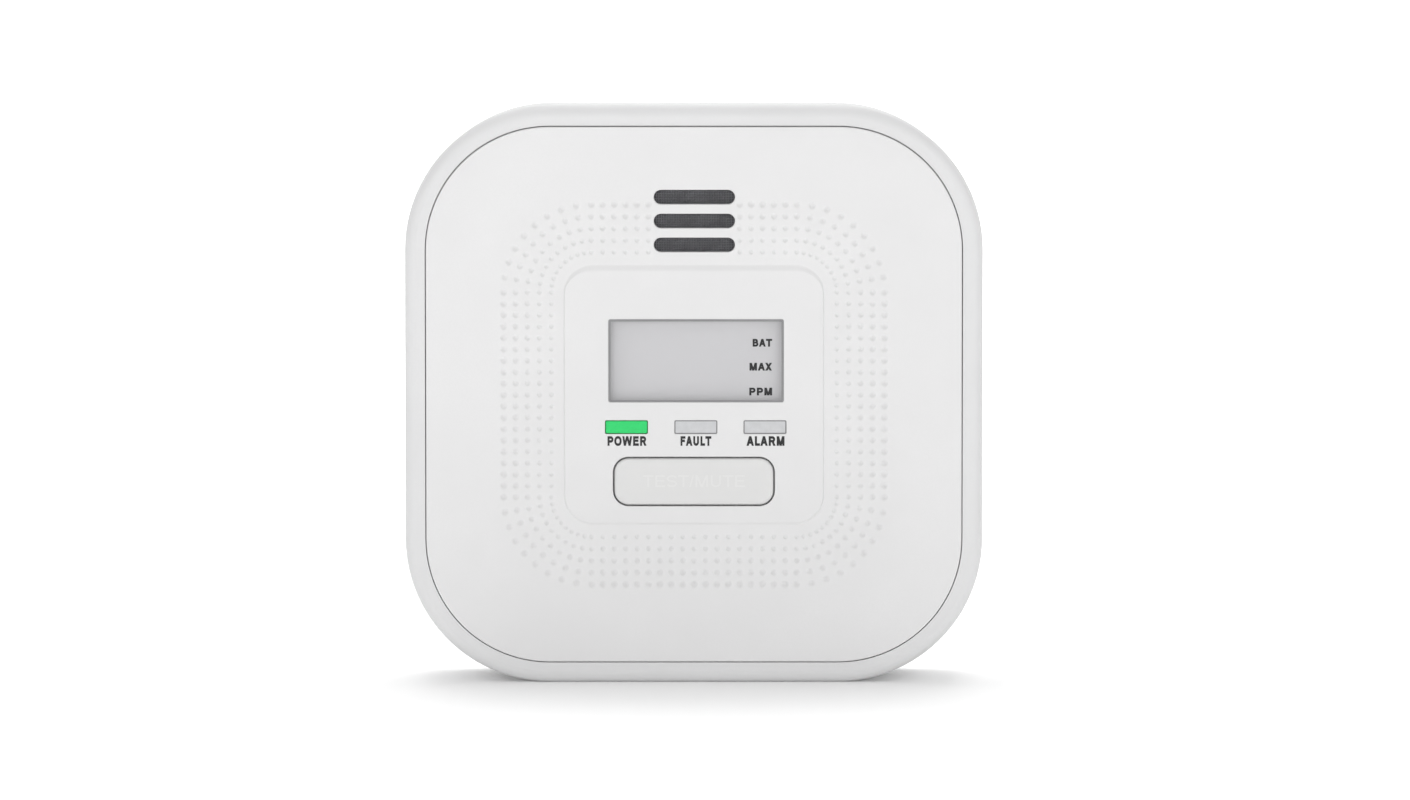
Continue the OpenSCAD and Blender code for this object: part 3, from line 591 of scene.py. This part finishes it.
def make_cover():
    sh = Shell()
    er, grow = 0.35, 0.115                        # edge rounding, and how much nearer the ring the finished edge runs
    w, r = COV_W + 2 * grow, COV_R + grow
    nc = 24
    # outer edge
    front_loop, side_loop = quarter(sh, w, w, r, Y_COVER, er, True, 5, nc)
    _, out = rrect(w, w, r, nc)
    back_loop = wall(sh, side_loop, out, Y_BACK, w, w, r, nc)
    # raised panel: soft step
    steps = 8
    foot = None
    loops = []
    for i in range(steps + 1):
        t = i / steps
        y = Y_COVER + (Y_PANEL - Y_COVER) * (t * t * (3 - 2 * t))
        base, po = rrect(PANEL_W + 0.1, PANEL_W + 0.1, PANEL_R, 12)
        pts, nn = [], []
        for (x, z), (dx, dz) in zip(base, po):
            run = 0.42 + 1.1 * max(0.0, dz) ** 2 + 0.2 * max(0.0, -dz) ** 2   # the upper edge fades in more softly
            slope = (Y_COVER - Y_PANEL) * 6 * t * (1 - t) / run
            pts.append((x - dx * run * t, z - dz * run * t))
            nn.append(Vector((dx * slope, -1.0, dz * slope)))
        loops.append((sh.verts(at(pts, y)), nn))
    for (a, na), (b, nb) in zip(loops, loops[1:]):
        sh.strip(a, b, na, nb)
    foot, top = loops[0][0], loops[-1][0]
    # openings: rolled lip, then a straight wall
    holes_cover, holes_panel, holes_back = [], [], []

    def opening(ow, oh, orr, oy, lip, nco, cx, cz, into):
        a, b = quarter(sh, ow, oh, orr, oy, lip, False, 4, nco, cx, cz)
        _, oo = rrect(ow, oh, orr, nco, cx, cz)
        into.append(a)
        return b, oo

    for s in (-1, 0, 1):
        b, oo = opening(SLOT_L, SLOT_H, SLOT_H / 2 - 0.001, Y_COVER, 0.22, 10, SLOT_X, SLOT_Z + s * SLOT_PITCH, holes_cover)
        holes_back.append(wall(sh, b, oo, Y_BACK, SLOT_L, SLOT_H, SLOT_H / 2 - 0.001, 10, SLOT_X, SLOT_Z + s * SLOT_PITCH, -1))
    for x, z in LAMPS:
        b, oo = opening(8.9, 2.85, 0.3, Y_PANEL, 0.1, 4, x, z, holes_panel)
        holes_back.append(wall(sh, b, oo, Y_BACK, 8.9, 2.85, 0.3, 4, x, z, -1))
    b, oo = opening(33.6, 10.25, 3.25, Y_PANEL, 0.18, 10, 0.0, BTN_Z, holes_panel)
    holes_back.append(wall(sh, b, oo, Y_BACK, 33.6, 10.25, 3.25, 10, 0.0, BTN_Z, -1))
    b, oo = opening(36.4, 17.25, 0.4, Y_PANEL, 0.12, 4, LCD_X, LCD_Z, holes_panel)
    ledge = wall(sh, b, oo, Y_BACK - 1.2, 36.4, 17.25, 0.4, 4, LCD_X, LCD_Z, -1)
    seat_p, seat_o = rrect(40, 20, 0.8, 4, LCD_X, LCD_Z)
    seat = sh.verts(at(seat_p, Y_BACK - 1.2))
    sh.strip(ledge, seat, [BACK] * len(seat), [BACK] * len(seat))
    holes_back.append(wall(sh, seat, seat_o, Y_BACK, 40, 20, 0.8, 4, LCD_X, LCD_Z, -1))
    # dimples
    seg, deep = 14, DIM_DEEP
    for x, z, r in dimple_places():
        rings = []
        for k, rho in enumerate((1.0, 0.8, 0.6, 0.4, 0.2)):
            y = Y_COVER + deep * (0.5 + 0.5 * math.cos(math.pi * rho)) * r / 0.78
            slope = -deep * r / 0.78 * 0.5 * math.pi / r * math.sin(math.pi * rho)   # dy/drho, negative outwards
            ids = sh.verts([(x + r * rho * math.cos(2 * math.pi * i / seg), y, z + r * rho * math.sin(2 * math.pi * i / seg)) for i in range(seg)])
            nn = [Vector((slope * math.cos(2 * math.pi * i / seg), -1, slope * math.sin(2 * math.pi * i / seg))) for i in range(seg)]
            rings.append((ids, nn))
            # depth in the dimple, painted as shade by the cover material
            for v in ids:
                sh.shade[v] = 0.5 + 0.5 * math.cos(math.pi * rho)
        for (a, na), (b, nb) in zip(rings, rings[1:]):
            sh.strip(a, b, na, nb)
        c = sh.verts([(x, Y_COVER + deep * r / 0.78, z)])[0]
        sh.shade[c] = 1.0
        ids, nn = rings[-1]
        for i in range(seg):
            sh.face([ids[i], ids[(i + 1) % seg], c], [nn[i], nn[(i + 1) % seg], FRONT])
        holes_cover.append(rings[0][0])
    flat(sh, Y_COVER, front_loop, [foot] + holes_cover, FRONT)
    flat(sh, Y_PANEL, top, holes_panel, FRONT)
    flat(sh, Y_BACK, back_loop, holes_back, BACK)
    # inside: skirt, screw bosses with their ribs, board posts, guide pins, rim round the vent screen
    y0 = Y_BACK - 0.15
    tube_ring(sh, COV_W - 0.8, COV_W - 0.8, COV_R - 0.4, COV_W - 3.8, COV_W - 3.8, COV_R - 1.9, y0, Y_BACK + 2.7, nc)
    for x in (-42, 42):
        for z in (-44, 44):
            lathe(sh, x, z, [(0, y0), (3.2, y0), (3.2, 1.7), (2.9, 2.0), (1.8, 2.0), (1.5, 1.7), (1.5, -6.5), (0, -6.5)])
            block(sh, x - 5.2, x + 5.2, y0, Y_BACK + 5, z - 0.6, z + 0.6)
            block(sh, x - 0.6, x + 0.6, y0, Y_BACK + 5, z - 5.2, z + 5.2)
    for x in (-39, 39):
        for z in (-19.5, 22):
            lathe(sh, x, z, [(0, y0), (2.6, y0), (2.6, -3.2), (2.4, -3.0), (1.25, -3.0), (1.05, -3.2), (1.05, -9.5), (0, -9.5)])
    for x in (-19, 19):
        lathe(sh, x, BTN_Z, [(0, y0), (1.0, y0), (1.0, Y_BACK + 3.5), (0.6, Y_BACK + 3.9), (0, Y_BACK + 3.9)], 18)
    rr = [(12.6, y0), (13.6, y0), (13.6, Y_BACK + 1.6), (12.6, Y_BACK + 1.6), (12.6, y0)]
    lathe(sh, 0.0, 36.0, rr, 64)
    return sh.build("front_cover_fine", cover_mat, "housing", ["front_cover"])


make_cover()


# ------------------------------------------------------------------ lettering
def slant(x0, z0, x1, z1, s):
    """Sloping stroke with level ends, as its left and right edges."""
    hw = s / 2 * math.hypot(x1 - x0, z1 - z0) / abs(z1 - z0)
    low, high = [(x0 - hw, z0), (x1 - hw, z1)], [(x0 + hw, z0), (x1 + hw, z1)]
    return (low, high, False) if z1 > z0 else (high, low, False)


def stroke(path, s, closed=False):
    """Stroke of even width along a path, mitred at its corners, as its left and right edges."""
    left, right = [], []
    m = len(path)
    for i, (x, z) in enumerate(path):
        dirs = []
        if closed or i > 0:
            q = path[i - 1]
            dirs.append(Vector((x - q[0], z - q[1])).normalized())
        if closed or i < m - 1:
            q = path[(i + 1) % m]
            dirs.append(Vector((q[0] - x, q[1] - z)).normalized())
        t = sum(dirs, Vector((0, 0))).normalized()
        k = s / 2 / max(0.4, t.dot(dirs[0]))
        left.append((x - t.y * k, z + t.x * k))
        right.append((x + t.y * k, z - t.x * k))
    return left, right, closed


def arc(cx, cz, rx, rz, a0, a1, n=14):
    return [(cx + rx * math.cos(math.radians(a0 + (a1 - a0) * i / n)), cz + rz * math.sin(math.radians(a0 + (a1 - a0) * i / n))) for i in range(n + 1)]


def glyph(c, s):
    """Strokes of a plain upright capital, one unit tall, with its width and side spaces."""
    h = s / 2

    def line(*pts):
        return stroke(list(pts), s)

    def bowl(xr, zt, zb):
        r = (zt - zb) / 2
        return stroke([(h, zt)] + arc(xr - r, (zt + zb) / 2, r, r, 90, -90, 12) + [(h, zb)], s)

    if c == "P":
        return [line((h, 0), (h, 1)), bowl(0.77 - h, 1 - h, 0.46)], 0.77, 0.105, 0.05
    if c == "R":
        return [line((h, 0), (h, 1)), bowl(0.79 - h, 1 - h, 0.485), slant(0.46, 0.485, 0.86 - h * 1.2, 0, s)], 0.86, 0.11, 0.01
    if c == "B":
        return [line((h, 0), (h, 1)), bowl(0.71 - h, 1 - h, 0.53), bowl(0.765 - h, 0.53, h)], 0.765, 0.1, 0.06
    if c == "O":
        w = 0.96
        pts = []
        for i in range(36):
            a = 2 * math.pi * i / 36
            k = (abs(math.cos(a)) ** 2.25 + abs(math.sin(a)) ** 2.25) ** (-1 / 2.25)
            pts.append((w / 2 + (w / 2 - h) * k * math.cos(a), 0.5 + (0.5 - h + 0.01) * k * math.sin(a)))
        return [stroke(pts, s, True)], w, 0.065, 0.065
    if c == "W":
        x = [h * 1.1, 0.335, 0.65, 0.965, 1.3 - h * 1.1]
        return [slant(x[0], 1, x[1], 0, s), slant(x[1], 0, x[2], 1, s), slant(x[2], 1, x[3], 0, s), slant(x[3], 0, x[4], 1, s)], 1.3, 0.01, 0.01
    if c == "E":
        w = 0.75
        return [line((h, 0), (h, 1)), line((h, 1 - h), (w - 0.02, 1 - h)), line((h, 0.53), (w - 0.06, 0.53)), line((h, h), (w, h))], w, 0.11, 0.05
    if c == "F":
        return [line((h, 0), (h, 1)), line((h, 1 - h), (0.68, 1 - h)), line((h, 0.52), (0.6, 0.52))], 0.68, 0.11, 0.04
    if c == "L":
        return [line((h, 0), (h, 1)), line((h, h), (0.62, h))], 0.62, 0.1, 0.03
    if c == "T":
        return [line((0, 1 - h), (0.82, 1 - h)), line((0.41, 0), (0.41, 1 - h))], 0.82, 0.02, 0.02
    if c == "A":
        return [slant(h * 1.1, 0, 0.46, 1, s), slant(0.92 - h * 1.1, 0, 0.46, 1, s), line((0.2, 0.345), (0.72, 0.345))], 0.92, 0.0, 0.0
    if c == "U":
        return [stroke([(h, 1)] + arc(0.39, 0.38, 0.39 - h, 0.38 - h, 180, 360, 16) + [(0.78 - h, 1)], s)], 0.78, 0.11, 0.11
    if c == "M":
        w = 0.95
        return [line((h, 0), (h, 1)), line((w - h, 0), (w - h, 1)), slant(h * 1.25, 1, w / 2, 0, s), slant(w - h * 1.25, 1, w / 2, 0, s)], w, 0.1, 0.1
    if c == "X":
        return [slant(h * 1.25, 0, 0.9 - h * 1.25, 1, s), slant(0.9 - h * 1.25, 0, h * 1.25, 1, s)], 0.9, 0.0, 0.0
    if c == "S":
        w, rz = 0.79, (0.5 - h) / 2
        return [stroke(arc(w / 2, 0.5 + rz, w / 2 - h, rz, 18, 270, 20)[:-1] + arc(w / 2, 0.5 - rz, w / 2 - h, rz, 90, -162, 20), s)], w, 0.06, 0.06
    return [slant(0.07, 0, 0.32, 1, s * 0.8)], 0.39, 0.0, 0.0


def word(name, text, x0, x1, z0, z1, y_low, y_high, mat, body, weight=0.15):
    """A word of plain capitals filling x0..x1, z0..z1, standing from y_low (under the surface) forward to y_high."""
    x, parts = 0.0, []
    first = None
    for c in text:
        strokes, w, lead, trail = glyph(c, weight)
        if first is None:
            first, lead = 0, 0.0
        x += lead
        parts += [(x, st, 0.002 * k) for k, st in enumerate(strokes)]       # strokes that cross never share a plane
        x += w + trail
        last = trail
    total = x - last
    sh = Shell()

    def put(p, off, y):
        return (x0 + (x1 - x0) * (p[0] + off) / total, y, z0 + (z1 - z0) * p[1])

    for off, (left, right, closed), up_ in parts:
        lf, rf = sh.verts([put(p, off, y_high + up_) for p in left]), sh.verts([put(p, off, y_high + up_) for p in right])
        lb, rb = sh.verts([put(p, off, y_low + up_) for p in left]), sh.verts([put(p, off, y_low + up_) for p in right])
        m = len(left)
        for i in range(m if closed else m - 1):
            j = (i + 1) % m
            sh.face([lf[i], lf[j], rf[j], rf[i]], FRONT)
            sh.face([lb[i], lb[j], rb[j], rb[i]], BACK)
            for f, b, sgn in ((lf, lb, 1), (rf, rb, -1)):
                d = Vector(sh.v[f[j]]) - Vector(sh.v[f[i]])
                sh.face([f[i], f[j], b[j], b[i]], Vector((-d.z * sgn, 0, d.x * sgn)))
        if not closed:
            for i, sgn in ((0, -1), (m - 1, 1)):
                d = Vector(sh.v[lf[i]]) - Vector(sh.v[rf[i]])
                sh.face([lf[i], rf[i], rb[i], lb[i]], Vector((d.z * sgn, 0, -d.x * sgn)))
    return sh.build(name, mat, body, ())


for text, cx, width in (("POWER", -13.87, 8.12), ("FAULT", 0.42, 6.4), ("ALARM", 14.85, 7.9)):
    word("caption_" + text.lower(), text, cx - width / 2, cx + width / 2, -9.58 - 1.0, -9.58 + 1.0, Y_PANEL + 0.01, Y_PANEL - 0.02,
         ink_mat, "housing", 0.262)
lcd_lo, lcd_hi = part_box("lcd_panel")
Y_LCD = lcd_lo[1] / MM
for text, zc_, width in (("BAT", 10.7, 4.05), ("MAX", 5.72, 4.7), ("PPM", 0.55, 4.75)):
    word("legend_" + text.lower(), text, 16.25 - width, 16.25, zc_ - 0.81, zc_ + 0.81, Y_LCD + 0.01, Y_LCD - 0.02,
         ink_mat, "housing", 0.262)


# printed border on the front of the clear window
def border(name, w, h, r, wi, hi, ri, cx, cz, y, mat):
    """Thin flat frame, moulded or printed round an opening."""
    sh = Shell()
    tube_ring(sh, w, h, r, wi, hi, ri, y, y + 0.03, 4)
    for i, (x, yy, z) in enumerate(sh.v):
        sh.v[i] = (x + cx, yy, z + cz)
    return sh.build(name, mat, "housing", ())


border_mat = plastic("seal_grey", (0.22, 0.22, 0.225), rough=0.5, grain=5000.0, depth=0.000003, tone=0.1, wear=0.0, crease_shade=0.0)
border("window_seal", 36.38, 17.23, 0.39, 35.46, 16.31, 0.15, LCD_X, LCD_Z, Y_PANEL + 0.165, border_mat)
lamp_border_mat = plastic("seal_light_grey", (0.2, 0.2, 0.205), rough=0.5, grain=5000.0, depth=0.000003, tone=0.1, wear=0.0, crease_shade=0.0)
for tag, (x, z) in zip(("fault", "alarm"), LAMPS[1:]):
    border("lamp_seal_" + tag, 8.88, 2.83, 0.29, 8.44, 2.39, 0.14, x, z, Y_PANEL + 0.115, lamp_border_mat)


# ------------------------------------------------------------------ button
def make_button():
    sh = Shell()
    yf = btn_lo[1] / MM
    w, h, r = 33.0, 9.65, 2.95
    nc = 12
    er = 0.55
    crown = 0.08
    # softly crowned face: rings that shrink towards the middle line
    loops = []
    for i in range(7):
        t = math.radians(90 * i / 6)
        off = er * (1 - math.sin(t))
        pts, out = rrect(w - 2 * off, h - 2 * off, r - off, nc, 0.0, BTN_Z)
        loops.append((sh.verts(at(pts, yf + crown + er * (1 - math.cos(t)))), side(out, math.sin(t), math.cos(t))))
    inner = []
    for k in range(1, 6):
        s = k / 5
        off = er + 1.9 * s
        pts, out = rrect(w - 2 * off, h - 2 * off, max(r - off, 0.35), nc, 0.0, BTN_Z)
        y = yf + crown * (1 - math.sin(math.pi / 2 * s))
        slope = crown * math.pi / 2 * math.cos(math.pi / 2 * s) / 1.9
        inner.append((sh.verts(at(pts, y)), side(out, slope, 1.0)))
    chain = inner[::-1] + loops
    for (a, na), (b, nb) in zip(chain, chain[1:]):
        sh.strip(a, b, na, nb)
    flat(sh, yf, chain[0][0], [], FRONT)
    _, out = rrect(w, h, r, nc, 0.0, BTN_Z)
    back = wall(sh, chain[-1][0], out, Y_BACK + 0.3, w, h, r, nc, 0.0, BTN_Z)
    ip, io = rrect(w - 3, h - 3, 1.6, nc, 0.0, BTN_Z)
    rim = sh.verts(at(ip, Y_BACK + 0.3))
    sh.strip(back, rim, [BACK] * len(rim), [BACK] * len(rim))
    deep = wall(sh, rim, io, yf + 1.5, w - 3, h - 3, 1.6, nc, 0.0, BTN_Z, -1)
    flat(sh, yf + 1.5, deep, [], BACK)
    # collar and guide ears behind the cover, ribs and the stem that meets the switch
    tube_ring(sh, w + 3.4, h + 2.2, 3.4, w - 3, h - 3, 1.6, Y_BACK + 0.2, Y_BACK + 1.2, nc, BTN_Z)
    for s in (-1, 1):
        seg = 24
        hole = [(s * 19 + 1.08 * math.cos(2 * math.pi * i / seg), BTN_Z + 1.08 * math.sin(2 * math.pi * i / seg)) for i in range(seg)]
        ear, eo = rrect(6.6, 6.4, 3.0, 10, s * 17.9, BTN_Z)
        hn = [(-(x - s * 19), 0, -(z - BTN_Z)) for x, z in hole]
        a, b = sh.verts(at(ear, Y_BACK + 0.25)), sh.verts(at(ear, Y_BACK + 1.15))
        c, d = sh.verts(at(hole, Y_BACK + 0.25)), sh.verts(at(hole, Y_BACK + 1.15))
        sh.strip(a, b, side(eo), side(eo))
        sh.strip(c, d, hn, hn)
        flat(sh, 0, a, [c], FRONT)
        flat(sh, 0, b, [d], BACK)
    lathe(sh, 0.0, BTN_Z, [(0, yf + 1.4), (2.0, yf + 1.4), (2.0, Y_BACK + 2.3), (1.8, Y_BACK + 2.5), (0, Y_BACK + 2.5)], 32)
    block(sh, -w / 2 + 1, w / 2 - 1, yf + 1.4, Y_BACK + 1.1, BTN_Z - 0.5, BTN_Z + 0.5)
    block(sh, -0.5, 0.5, yf + 1.4, Y_BACK + 1.1, BTN_Z - h / 2 + 1, BTN_Z + h / 2 - 1)
    return sh.build("button_fine", button_mat, "button", ["test_button"])


make_button()
word("button_word", "TEST/MUTE", -10.6, 10.6, BTN_Z - 1.15, BTN_Z + 1.35, btn_lo[1] / MM + 0.1, btn_lo[1] / MM - 0.05, relief_mat, "button", 0.14)


# ------------------------------------------------------------------ woven screen behind the slots
def make_screen():
    lo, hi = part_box("vent_mesh")
    cx, cz = (lo[0] + hi[0]) / 2 / MM, ((lo[2] + hi[2]) / 2 - ZC) / MM
    rad = (hi[0] - lo[0]) / 2 / MM
    ym = (lo[1] + hi[1]) / 2 / MM
    sh = Shell()
    pitch, wire = 0.52, 0.10
    n = int((rad - 0.5) / pitch)
    for axis in (0, 1):
        for i in range(-n, n + 1):
            u = i * pitch
            half = math.sqrt(max((rad - 0.35) ** 2 - u * u, 0))
            m = int(half / pitch)
            if m < 2:
                continue
            prev = None
            for k in range(-m, m + 1):
                s = k * pitch
                up_ = 1 if (i + k + axis) % 2 == 0 else -1
                y = ym + up_ * wire * 0.55
                c = (u, s) if axis == 0 else (s, u)
                x, z = cx + c[0], cz + c[1]
                if axis == 0:
                    ring = [(x - wire, y, z), (x, y - wire, z), (x + wire, y, z), (x, y + wire, z)]
                    nn = [Vector((-1, 0, 0)), FRONT, Vector((1, 0, 0)), BACK]
                else:
                    ring = [(x, y, z - wire), (x, y - wire, z), (x, y, z + wire), (x, y + wire, z)]
                    nn = [Vector((0, 0, -1)), FRONT, Vector((0, 0, 1)), BACK]
                ids = sh.verts(ring)
                if prev is not None:
                    sh.strip(prev, ids, nn, nn)
                else:
                    sh.face(ids[:], Vector((0, 0, -1)) if axis == 0 else Vector((-1, 0, 0)))
                prev = ids
            sh.face(prev[:], Vector((0, 0, 1)) if axis == 0 else Vector((1, 0, 0)))
    lathe(sh, cx, cz, [(rad - 0.9, ym - 0.16), (rad - 0.05, ym - 0.16), (rad - 0.05, ym + 0.16), (rad - 0.9, ym + 0.16), (rad - 0.9, ym - 0.16)], 72)
    sh.build("vent_screen", screen_mat, "housing", ["vent_mesh"])
    felt = Shell()
    lathe(felt, cx, cz, [(0, ym + 0.13), (rad - 0.95, ym + 0.13), (rad - 0.95, ym + 0.17), (0, ym + 0.17)], 72)
    felt.build("vent_felt", felt_mat, "housing", ())


make_screen()


# ------------------------------------------------------------------ stage and light
def backdrop():
    """Floor that sweeps up behind the object; its material glows more away from the object, which is painted light: it
    whitens the sweep and trims the object's cast shadow to a narrow patch.
    """
    prof = [(-4.0, 0.0), (1.2, 0.0)]
    for i in range(1, 13):
        a = math.radians(90 * i / 12)
        prof.append((1.2 + 1.5 * math.sin(a), 1.5 - 1.5 * math.cos(a)))
    prof.append((2.7, 4.0))
    xs = [-5.0, 5.0]
    me = bpy.data.meshes.new("backdrop")
    me.from_pydata([(x, y, z) for (y, z) in prof for x in xs], [], [(2 * i, 2 * i + 1, 2 * i + 3, 2 * i + 2) for i in range(len(prof) - 1)])
    for p in me.polygons:
        p.use_smooth = True
    o = bpy.data.objects.new("backdrop", me)
    scene.collection.objects.link(o)
    m, nt, out = material("backdrop_white")
    p = principled(nt, out, 0.1)
    p.inputs["Base Color"].default_value = (0.97, 0.97, 0.97, 1)
    p.inputs["Roughness"].default_value = 0.8
    sep = nt.nodes.new("ShaderNodeSeparateXYZ")
    nt.links.new(object_coord(nt), sep.inputs[0])
    p.inputs["Emission Color"].default_value = (1, 1, 1, 1)
    # painted light: a glow of 0.045 everywhere, rising behind the object and far to the sides to whiten the sweep, and
    # rising just in front of and just beside the object, which cuts its cast shadow short and narrow
    behind = ramp(nt, sep.outputs["Y"], (0.25, 1.0, 0.045, 0.48))
    before = ramp(nt, sep.outputs["Y"], (-0.05, -0.2, 0.0, 0.14))
    across = math_node(nt, "ABSOLUTE", sep.outputs["X"])
    aside = math_node(nt, "ADD", ramp(nt, across, (0.35, 1.6, 0.0, 0.3)), ramp(nt, across, (0.045, 0.125, 0.0, 0.13)))
    nt.links.new(math_node(nt, "ADD", math_node(nt, "ADD", behind, before), aside), p.inputs["Emission Strength"])
    me.materials.append(m)


backdrop()
world = bpy.data.worlds.new("studio")
scene.world = world
world.use_nodes = True
bg = world.node_tree.nodes["Background"]
bg.inputs["Color"].default_value = (1.0, 1.0, 1.0, 1.0)
path = world.node_tree.nodes.new("ShaderNodeLightPath")       # seen directly it is as white as the backdrop
world.node_tree.links.new(ramp(world.node_tree, path.outputs["Is Camera Ray"], (0.0, 1.0, 0.55, 1.0)), bg.inputs["Strength"])


def area(name, loc, target, size, power, size_y=None):
    d = bpy.data.lights.new(name, "AREA")
    d.shape = "RECTANGLE"
    d.size, d.size_y = size, size_y or size
    d.energy = power
    o = bpy.data.objects.new(name, d)
    o.location = loc
    o.rotation_euler = (Vector(target) - Vector(loc)).to_track_quat("-Z", "Y").to_euler()
    scene.collection.objects.link(o)
    return o


area("key_top", (0.0, 0.34, 1.04), (0.0, 0.0, 0.0), 0.7, 5.0, 0.7)
area("fill_front", (0.0, -2.2, 0.3), (0.0, 0.0, 0.06), 2.4, 19.2, 0.5)
area("fill_high", (0.0, -1.2, 1.2), (0.0, 0.0, 0.1), 1.6, 0.8, 0.6)
